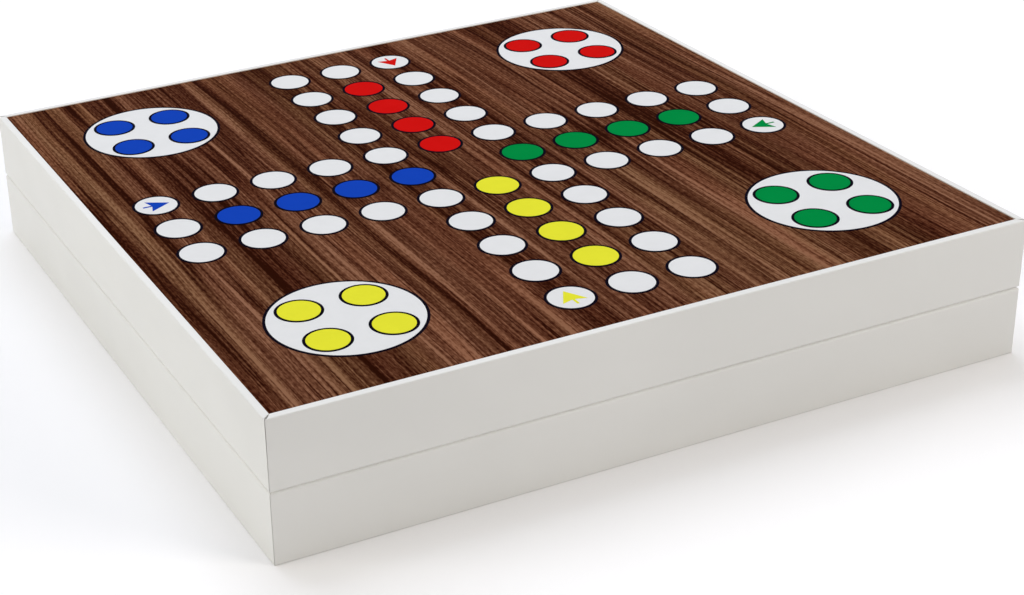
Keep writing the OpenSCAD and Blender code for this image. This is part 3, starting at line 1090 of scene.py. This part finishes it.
@dataclass
class PrintedBoard:
    """The printed game on the board panel: fields, lanes, homes, dots and start arrows."""

    pitch: float = 22.1 * MM
    field_r: float = 7.4 * MM
    dot_r: float = 6.85 * MM
    outline_w: float = 1 * MM
    home_margin: float = 1.37 * MM
    arm: int = 5
    home_step: int = 4
    arrow_w: float = 8.6 * MM
    arrow_head_l: float = 7.6 * MM
    arrow_notch: float = 1.2 * MM
    arrow_tail_l: float = 3.2 * MM
    arrow_tail_w: float = 0.8 * MM
    segments: int = 128
    black: Colour = paint(10, 7, 20)
    white: Colour = paint(231, 231, 231)
    inks: dict[Player, Colour] = field(
        default_factory=lambda: {
            Player.BLUE: paint(20, 67, 181),
            Player.RED: paint(208, 18, 16),
            Player.GREEN: paint(0, 137, 64),
            Player.YELLOW: paint(232, 230, 54),
        }
    )

    def __post_init__(self) -> None:
        """Works out the sizes that follow from the others and from the frame."""
        self.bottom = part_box("print_outlines")[0].z
        self.ink_t = (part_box("print_blue")[1].z - self.bottom) / len(Layer)
        self.outline_r = self.field_r + self.outline_w
        self.dot_outline_r = self.dot_r + self.outline_w
        self.dot_step = self.pitch / 2
        self.home_r = self.dot_step * math.sqrt(2) + self.dot_outline_r + self.home_margin

    @staticmethod
    def _turned(places: Iterable[Place], angle: float) -> list[Place]:
        """Turns places on the board about its middle."""
        cos, sin = math.cos(angle), math.sin(angle)
        return [(x * cos - y * sin, x * sin + y * cos) for x, y in places]

    def path_fields(self) -> list[Place]:
        """Lays out the path.

        Returns:
            Middles of its fields, each once.
        """
        arm = [(i * self.pitch, self.pitch) for i in range(1, self.arm + 1)]
        arm += [(i * self.pitch, -self.pitch) for i in range(2, self.arm + 1)]
        arm.append((self.arm * self.pitch, 0))
        return [place for player in Player for place in self._turned(arm, -player.turn)]

    def lane(self, player: Player) -> list[Place]:
        """Middles of the fields of a player's lane."""
        fields = [(-i * self.pitch, 0) for i in range(1, self.arm)]
        return self._turned(fields, player.turn)

    def home(self, player: Player) -> Place:
        """Middle of a player's home."""
        reach = self.home_step * self.pitch
        return self._turned([(-reach, reach)], player.turn)[0]

    def dots(self, player: Player) -> list[Place]:
        """Middles of the four dots of a player's home."""
        x, y = self.home(player)
        return [(x + i * self.dot_step, y + j * self.dot_step) for i in (-1, 1) for j in (-1, 1)]

    def arrow(self, player: Player) -> list[Place]:
        """Draws a start arrow, which points inward along the path.

        Args:
            player: The player whose arrow it is.

        Returns:
            The arrow's outline.
        """
        tip = (self.arrow_head_l + self.arrow_tail_l - self.arrow_notch) / 2
        back = tip - self.arrow_head_l
        notch = back + self.arrow_notch
        tail = notch - self.arrow_tail_l
        half = self.arrow_tail_w / 2
        upper = [(tip, 0), (back, self.arrow_w / 2), (notch, half), (tail, half)]
        lower = [(x, -y) for x, y in reversed(upper[1:])]
        start = (-self.arm * self.pitch, self.pitch)
        return self._turned([(start[0] + x, start[1] + y) for x, y in upper + lower], player.turn)

    def recipe(self) -> Recipe:
        """Makes the tree that lays a disc of ink at each point with a size, and thickens the faces.

        Returns:
            The recipe.
        """
        recipe = Recipe("Printed shapes")
        height = recipe.number("Ink height", self.ink_t)
        steps = recipe.count("Steps round", self.segments)
        finish = recipe.finish()
        named = recipe.add("GeometryNodeInputNamedAttribute", {"Name": "size"}, data_type="FLOAT")
        size = named.outputs["Attribute"]
        compared = recipe.add("FunctionNodeCompare", {0: size, 1: 0.0}, operation="GREATER_THAN")
        sized = compared.outputs["Result"]
        disc = recipe.add(
            "GeometryNodeMeshCylinder",
            {"Vertices": steps, "Radius": 1.0, "Depth": height},
            fill_type="TRIANGLE_FAN",
        ).outputs["Mesh"]
        raised = recipe.moved(disc, Translation=recipe.vector(Z=recipe.times(height, 0.5)))
        spans = recipe.vector(X=size, Y=size, Z=1.0)
        discs = recipe.add(
            "GeometryNodeInstanceOnPoints",
            {"Points": recipe.geometry, "Selection": sized, "Instance": raised, "Scale": spans},
        ).outputs["Instances"]
        flat = recipe.add(
            "GeometryNodeDeleteGeometry",
            {"Geometry": recipe.geometry, "Selection": sized},
            domain="POINT",
        ).outputs["Geometry"]
        slab, _ = recipe.thickened(flat, height)
        recipe.close(recipe.joined(slab, discs), finish)
        return recipe

    def _print(
        self,
        recipe: Recipe,
        slot: str,
        colour: Colour,
        discs: Sequence[tuple[Layer, float, Sequence[Place]]],
        arrow: Sequence[Place] = (),
    ) -> None:
        """Prints one colour.

        Args:
            recipe: The tree that makes the shapes.
            slot: Name of the ink's material, and the name of the solid that the print stands for.
            colour: The ink's colour.
            discs: Layer, radius and middles of each group of discs.
            arrow: Outline of the start arrow, if there is one.
        """
        points: list[Triple] = []
        sizes: list[float] = []
        for layer, radius, places in (*discs, (Layer.RINGS, 0.0, arrow)):
            level = self.bottom + layer.value * self.ink_t
            points += [(x, y, level) for x, y in places]
            sizes += [radius] * len(places)
        faces = [list(range(len(points) - len(arrow), len(points)))] if arrow else []
        node = "print_outlines" if slot == "print_black" else slot
        seed = seed_mesh(points, sizes, faces)
        piece = grown(f"{node}_ink", seed, recipe, Finish=Ink(slot, colour).material())
        settle(piece, Body.LID, slot, node)

    def build(self) -> None:
        """Prints the outlines first, then the white, then each player's colour."""
        recipe = self.recipe()
        lanes = [place for player in Player for place in self.lane(player)]
        homes = [self.home(player) for player in Player]
        dots = [place for player in Player for place in self.dots(player)]
        path = self.path_fields()
        outlines = [
            (Layer.OUTLINES, self.outline_r, path + lanes),
            (Layer.OUTLINES, self.home_r + self.outline_w, homes),
            (Layer.RINGS, self.dot_outline_r, dots),
        ]
        self._print(recipe, "print_black", self.black, outlines)
        fields = [(Layer.FIELDS, self.field_r, path), (Layer.FIELDS, self.home_r, homes)]
        self._print(recipe, "print_white", self.white, fields)
        for player in Player:
            discs = [
                (Layer.FIELDS, self.field_r, self.lane(player)),
                (Layer.DOTS, self.dot_r, self.dots(player)),
            ]
            slot = f"print_{player.word}"
            self._print(recipe, slot, self.inks[player], discs, self.arrow(player))


@dataclass
class Linings:
    """The two felt linings, laid on the inner faces of the panels."""

    cell: float = 1.6 * MM
    nap: float = 0.12 * MM
    nap_patches: float = 260.0
    nap_detail: float = 3.0

    def recipe(self) -> Recipe:
        """Makes the tree of a sheet of felt with an uneven nap.

        Returns:
            The recipe.
        """
        recipe = Recipe("Felt sheet")
        names = ("Width", "Depth", "Thickness", "Cell", "Nap", "Tilt")
        width, depth, height, cell, nap, tilt = (recipe.number(name) for name in names)
        finish = recipe.finish()
        counts = []
        for span in (width, depth):
            share = recipe.sum(span, cell, "DIVIDE")
            counts.append(recipe.add("FunctionNodeFloatToInt", {"Float": share}).outputs["Integer"])
        grid = recipe.add(
            "GeometryNodeMeshGrid",
            {"Size X": width, "Size Y": depth, "Vertices X": counts[0], "Vertices Y": counts[1]},
        ).outputs["Mesh"]
        slab, top = recipe.thickened(grid, height)
        cloud = recipe.add("ShaderNodeTexNoise", {"Scale": self.nap_patches, "Detail": self.nap_detail})
        drop = recipe.vector(Z=recipe.times(recipe.times(cloud.outputs["Fac"], nap), -1.0))
        uneven = recipe.add(
            "GeometryNodeSetPosition",
            {"Geometry": slab, "Selection": top, "Offset": drop},
        ).outputs["Geometry"]
        recipe.close(recipe.moved(uneven, Rotation=recipe.vector(X=tilt)), finish)
        return recipe

    def build(self) -> None:
        """Cuts both linings to their solids' sizes and lays them down."""
        recipe = self.recipe()
        felt = Felt().material()
        for body, panel in ((Body.BASE, "base_panel"), (Body.LID, "board_panel")):
            node = f"{body.value}_lining"
            low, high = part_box(node)
            spans = high - low
            down = body is Body.LID
            piece = grown(
                f"{node}_felt",
                seed_mesh([(0, 0, 0)], [0.0]),
                recipe,
                Width=spans.x,
                Depth=spans.y,
                Thickness=spans.z,
                Cell=self.cell,
                Nap=self.nap,
                Tilt=math.pi if down else 0.0,
                Finish=felt,
            )
            middle = (low + high) / 2
            piece.data.transform(Matrix.Translation((middle.x, middle.y, high.z if down else low.z)))
            for face in piece.data.polygons:
                face.use_smooth = True
            settle(piece, body, "felt_lining", node)


@dataclass
class Hinges:
    """Both butt hinges: leaves, pins and screws."""

    leaf_ease: float = 0.12 * MM
    pin_r: float = 0.8 * MM
    pin_head: float = 0.5 * MM
    pin_sharp: float = 40.0
    dome_steps: int = 6
    screw_edge: float = 6.5 * MM
    screws_each: int = 3
    screw_r: float = 1 * MM
    screw_head_r: float = 1.95 * MM
    screw_l: float = 9 * MM
    screw_tip: float = 2 * MM
    slot_w: float = 0.5 * MM
    slot_depth: float = 0.35 * MM
    slot_l_in_radii: float = 2.4
    head_steps: int = 48
    shank_steps: int = 24
    seeds: dict[Body, int] = field(default_factory=lambda: {Body.BASE: 9, Body.LID: 4})

    def pin(self, side: Side) -> None:
        """Turns one pin, with a domed head at each end.

        Args:
            side: The hinge that the pin holds together.
        """
        node = f"{side.value}_hinge_pin"
        low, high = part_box(node)
        half = (high.x - low.x) / 2
        head_r = (high.z - low.z) / 2
        turns = [math.pi / 2 * k / self.dome_steps for k in range(self.dome_steps)]
        dome = [(half - self.pin_head * (1 - math.sin(a)), head_r * math.cos(a)) for a in turns]
        one_end = [(half - self.pin_head, self.pin_r)] + dome + [(half, 0)]
        other_end = [(-along, radius) for along, radius in reversed(one_end)]
        mesh = turned_mesh(node, other_end + one_end, (low + high) / 2)
        piece = new_piece(f"{node}_turned", mesh, Metal.STEEL.material())
        soften(piece, sharp=self.pin_sharp)
        settle(piece, Body.BASE, "hinge_pin_steel", node)

    def screw_recipe(self) -> Recipe:
        """Makes the tree that sets a slotted countersunk screw at each point.

        Returns:
            The recipe.
        """
        recipe = Recipe("Slotted screws")
        head_r = recipe.number("Head radius", self.screw_head_r)
        shank_r = recipe.number("Shank radius", self.screw_r)
        length = recipe.number("Length", self.screw_l)
        slot_w = recipe.number("Slot width", self.slot_w)
        slot_depth = recipe.number("Slot depth", self.slot_depth)
        tilt = recipe.number("Tilt")
        seed = recipe.count("Seed")
        finish = recipe.finish()

        def lowered(mesh: Socket, by: Socket) -> Socket:
            """The mesh, moved down."""
            return recipe.moved(mesh, Translation=recipe.vector(Z=recipe.times(by, -1.0)))

        def cone(steps: int, top: Socket, bottom: Socket | float, depth: Socket | float) -> Socket:
            """A cone with its wide end up."""
            inputs = {"Vertices": steps, "Radius Top": top, "Radius Bottom": bottom, "Depth": depth}
            return recipe.add("GeometryNodeMeshCone", inputs).outputs["Mesh"]

        head_h = recipe.sum(head_r, shank_r, "SUBTRACT")
        head = lowered(cone(self.head_steps, head_r, shank_r, head_h), head_h)
        slot_size = recipe.vector(
            X=recipe.times(head_r, self.slot_l_in_radii),
            Y=slot_w,
            Z=recipe.times(slot_depth, 2.0),
        )
        slot = recipe.add("GeometryNodeMeshCube", {"Size": slot_size}).outputs["Mesh"]
        cut = recipe.add("GeometryNodeMeshBoolean", {"Mesh 1": head}, operation="DIFFERENCE")
        recipe.tree.links.new(slot, cut.inputs["Mesh 2"])
        shank_l = recipe.sum(recipe.sum(length, head_h, "SUBTRACT"), self.screw_tip, "SUBTRACT")
        shank = recipe.add(
            "GeometryNodeMeshCylinder",
            {"Vertices": self.shank_steps, "Radius": shank_r, "Depth": shank_l},
        ).outputs["Mesh"]
        shank_middle = recipe.sum(head_h, recipe.times(shank_l, 0.5))
        tip = cone(self.shank_steps, shank_r, 0.0, self.screw_tip)
        parts = recipe.joined(
            cut.outputs["Mesh"],
            lowered(shank, shank_middle),
            lowered(tip, length),
        )
        turn = recipe.add(
            "FunctionNodeRandomValue",
            {"Max": (0.0, 0.0, math.pi), "Seed": seed},
            data_type="FLOAT_VECTOR",
        ).outputs["Value"]
        flip = recipe.vector(X=tilt)
        both = recipe.add("ShaderNodeVectorMath", {0: turn, 1: flip}, operation="ADD")
        screws = recipe.add(
            "GeometryNodeInstanceOnPoints",
            {"Points": recipe.geometry, "Instance": parts, "Rotation": both.outputs["Vector"]},
        ).outputs["Instances"]
        recipe.close(screws, finish)
        return recipe

    def screws(self, recipe: Recipe, body: Body, brass: Material) -> None:
        """Sets the screws of one half's leaves.

        Args:
            recipe: The tree that makes a screw.
            body: The half that the leaves are screwed to.
            brass: The screws' finish.
        """
        node = f"{body.value}_hinge_screws"
        low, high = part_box(node)
        upside_down = body is Body.LID
        level = low.z if upside_down else high.z
        points = []
        for side in Side:
            start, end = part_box(f"{side.value}_hinge_{body.value}_leaf")
            step = (end.x - start.x - 2 * self.screw_edge) / (self.screws_each - 1)
            first = start.x + self.screw_edge
            points += [(first + k * step, (low.y + high.y) / 2, level) for k in range(self.screws_each)]
        piece = grown(
            f"{node}_set",
            seed_mesh(points, [1.0] * len(points)),
            recipe,
            Tilt=math.pi if upside_down else 0.0,
            Seed=self.seeds[body],
            Finish=brass,
        )
        settle(piece, body, "brass_screw", node)

    def build(self) -> None:
        """Dresses the leaves, and makes the pins and the screws."""
        brass = Metal.BRASS.material()
        for side in Side:
            for body in Body:
                dress(f"{side.value}_hinge_{body.value}_leaf", brass, self.leaf_ease)
            self.pin(side)
        recipe = self.screw_recipe()
        screw_brass = Metal.SCREW.material()
        for body in Body:
            self.screws(recipe, body, screw_brass)


@dataclass
class Magnets:
    """The closing magnets in the front rims."""

    ease: float = 0.2 * MM

    def build(self) -> None:
        """Dresses the magnets."""
        nickel = Metal.NICKEL.material()
        for body in Body:
            dress(f"{body.value}_magnets", nickel, self.ease)


@dataclass
class Tray:
    """The dividers of the tray."""

    cross_dividers: int = 4
    ease: float = 0.4 * MM

    def build(self) -> None:
        """Dresses the dividers, each with the grain along its length."""
        dress("long_divider", Beech().material("divider_wood"), self.ease)
        cross = Beech().material("divider_wood_across", along_y=True)
        for k in range(1, self.cross_dividers + 1):
            dress(f"cross_divider_{k}", cross, self.ease)


@dataclass
class PlayingPieces:
    """Sixteen pawns and two dice."""

    pawns_each: int = 4
    die_w: float = 12 * MM
    die_sharp: float = 30.0
    pip_reach: float = 0.02 * MM
    corner_reach: float = 0.68
    turns: tuple[float, float] = (24.0, -14.0)
    ivory: Plastic = Plastic("die_ivory", paint(240, 236, 222), 0.18)
    pip_paint: Plastic = Plastic("die_pip_paint", paint(22, 22, 24), 0.4)
    plastics: dict[Player, Colour] = field(
        default_factory=lambda: {
            Player.BLUE: paint(24, 58, 170),
            Player.RED: paint(208, 22, 24),
            Player.GREEN: paint(4, 130, 58),
            Player.YELLOW: paint(236, 208, 36),
        }
    )

    def build(self) -> None:
        """Dresses the pawns and paints the dice."""
        for player in Player:
            plastic = Plastic(f"pawn_{player.word}", self.plastics[player]).material()
            for k in range(1, self.pawns_each + 1):
                dress(f"pawn_{player.word}_{k}", plastic)
        finishes = (self.ivory.material(), self.pip_paint.material())
        for k, turn in enumerate(self.turns, start=1):
            self.die(f"die_{k}", turn, finishes)

    def die(self, node: str, turn: float, finishes: tuple[Material, Material]) -> None:
        """Makes one die from its solid, with paint in its pips.

        Args:
            node: The solid's name.
            turn: The angle by which it lies turned, in degrees.
            finishes: Finish of its faces, and paint of its pips.
        """
        low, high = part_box(node)
        work = welded(node)
        square = Matrix.Rotation(math.radians(-turn), 3, "Z")
        for face in work.faces:
            place = square @ (face.calc_center_median() - (low + high) / 2)
            sunk = max(abs(part) for part in place) < self.die_w / 2 - self.pip_reach
            face.material_index = int(sunk and place.length < self.corner_reach * self.die_w)
        mesh = kept(work, node)
        for finish in finishes:
            mesh.materials.append(finish)
        piece = new_piece(f"{node}_painted", mesh)
        soften(piece, sharp=self.die_sharp)
        settle(piece, Body.BASE, "die_ivory", node)


# Studio


@dataclass(frozen=True)
class Lamp:
    """A soft square lamp that shines on the box and isn't seen itself."""

    name: str
    place: Triple
    size: float
    power: float
    colour: Triple

    def hang(self) -> None:
        """Hangs the lamp in its place, turned to the box."""
        data = bpy.data.lights.new(self.name, "AREA")
        data.shape = "SQUARE"
        data.size = self.size
        data.energy = self.power
        data.color = self.colour
        lamp = placed(self.name, data)
        lamp.location = self.place
        lamp.rotation_euler = Vector(self.place).to_track_quat("Z", "Y").to_euler()
        lamp.visible_camera = False


@dataclass
class Studio:
    """The camera, the lamps and the white floor."""

    lens_mm: float = 72.0
    sensor_mm: float = 36.0
    clip: Range = (0.01, 100.0)
    camera_place: Triple = (-0.30987, -0.60266, 0.333)
    azimuth: float = 23.2467
    look_down: float = 26.3531
    roll: float = -2.8404
    axis_pixel: float = 343.58
    image_w: int = 1024
    ambient: float = 0.2
    backdrop: Colour = (1.0, 1.0, 1.0, 1.0)
    floor_size: float = 12.0
    floor_white: Triple = (1.09, 1.075, 1.075)
    floor_bounce: Colour = (0.8, 0.8, 0.8, 1.0)
    # Painted shadow on the floor: within this reach of the box, ambient occlusion darkens the floor's
    # white by up to this share
    painted_shadow_reach: float = 60 * MM
    painted_shadow_strength: float = 0.22
    painted_shadow_samples: int = 8
    lamps: tuple[Lamp, ...] = (
        Lamp("ceiling_back", (0.0, 0.9, 1.5), size=1.4, power=13.4, colour=(0.93, 0.985, 1.1)),
        Lamp("ceiling", (0.0, 0.0, 2.0), size=1.4, power=5.7, colour=(0.93, 0.985, 1.1)),
        Lamp("left", (-1.6, 0.1, 0.7), size=1.2, power=12.5, colour=(1.025, 0.998, 0.91)),
        Lamp("right", (1.6, 0.1, 0.7), size=1.2, power=5.4, colour=(1.02, 1.0, 0.97)),
        Lamp("front_right", (1.4, -1.5, 0.8), size=1.0, power=18.9, colour=(1.04, 0.983, 0.91)),
    )

    def camera(self) -> None:
        """Sets up the camera at the photograph's place, with its crop as a sideways shift."""
        data = bpy.data.cameras.new("Camera")
        data.lens = self.lens_mm
        data.sensor_width = self.sensor_mm
        data.shift_x = (self.image_w / 2 - self.axis_pixel) / self.image_w
        data.clip_start, data.clip_end = self.clip
        camera = placed("Camera", data)
        turn = Matrix.Rotation(math.radians(-self.azimuth), 4, "Z")
        tilt = Matrix.Rotation(math.radians(90 - self.look_down), 4, "X")
        lean = Matrix.Rotation(math.radians(self.roll), 4, "Z")
        camera.matrix_world = Matrix.Translation(self.camera_place) @ turn @ tilt @ lean
        bpy.context.scene.camera = camera

    @staticmethod
    def seen_directly(wiring: Wiring) -> Socket:
        """Tells the rays that show a surface from those that only carry its light.

        Args:
            wiring: The tree of a material or of the world.

        Returns:
            1 for rays from the camera, a mirror or a glass, and 0 for the rest.
        """
        path = wiring.add("ShaderNodeLightPath").outputs
        seen = path["Is Camera Ray"]
        for kind in ("Is Glossy Ray", "Is Transmission Ray"):
            seen = wiring.sum(seen, path[kind], "MAXIMUM")
        return seen

    def world(self) -> None:
        """Fills the room with even light, in front of a white background."""
        world = bpy.data.worlds.new("Studio")
        world.use_nodes = True
        wiring = Wiring(world.node_tree)
        background = wiring.tree.nodes["Background"].inputs
        wiring.fill(background["Color"], self.backdrop)
        strength = wiring.spread(self.seen_directly(wiring), WHOLE, (self.ambient, 1.0))
        wiring.fill(background["Strength"], strength)
        bpy.context.scene.world = world

    def floor(self) -> None:
        """Lays a white floor that keeps the box's shadow, and adds a painted shadow from ambient
        occlusion that darkens its white near the box.
        """
        half = self.floor_size / 2
        corners = [(-half, -half, 0), (half, -half, 0), (half, half, 0), (-half, half, 0)]
        mesh = bpy.data.meshes.new("floor")
        mesh.from_pydata(corners, [], [(0, 1, 2, 3)])
        material = bpy.data.materials.new("studio_floor")
        material.use_nodes = True
        wiring = Wiring(material.node_tree)
        nodes = wiring.tree.nodes
        nodes.remove(nodes["Principled BSDF"])
        # Painted shadow: ambient occlusion darkens the white that the camera sees where the box stands
        # close by
        near = wiring.add(
            "ShaderNodeAmbientOcclusion",
            {"Distance": self.painted_shadow_reach},
            samples=self.painted_shadow_samples,
        ).outputs["AO"]
        shade = wiring.spread(near, WHOLE, (1.0 - self.painted_shadow_strength, 1.0))
        tone = wiring.add(
            "ShaderNodeVectorMath",
            {0: self.floor_white, "Scale": shade},
            operation="SCALE",
        ).outputs["Vector"]
        shown = wiring.add("ShaderNodeBsdfDiffuse", {"Color": tone}).outputs[0]
        paper = wiring.add("ShaderNodeBsdfDiffuse", {"Color": self.floor_bounce}).outputs[0]
        seen = self.seen_directly(wiring)
        surface = wiring.add("ShaderNodeMixShader", {0: seen, 1: paper, 2: shown}).outputs[0]
        wiring.fill(nodes["Material Output"].inputs["Surface"], surface)
        new_piece("floor", mesh, material)

    def build(self) -> None:
        """Sets up the whole studio."""
        self.camera()
        self.world()
        self.floor()
        for lamp in self.lamps:
            lamp.hang()
        bpy.context.scene.view_settings.view_transform = "Standard"


def main() -> None:
    """Builds the studio and the box's sub-assemblies in order."""
    logging.basicConfig(level=logging.INFO, format="%(message)s")
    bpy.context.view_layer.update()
    box = (Case(), PrintedBoard(), Linings(), Hinges(), Magnets(), Tray(), PlayingPieces())
    for part in (Studio(), *box):
        part.build()
        LOG.info("%s is ready", type(part).__name__)


if __name__ == "__main__":
    main()
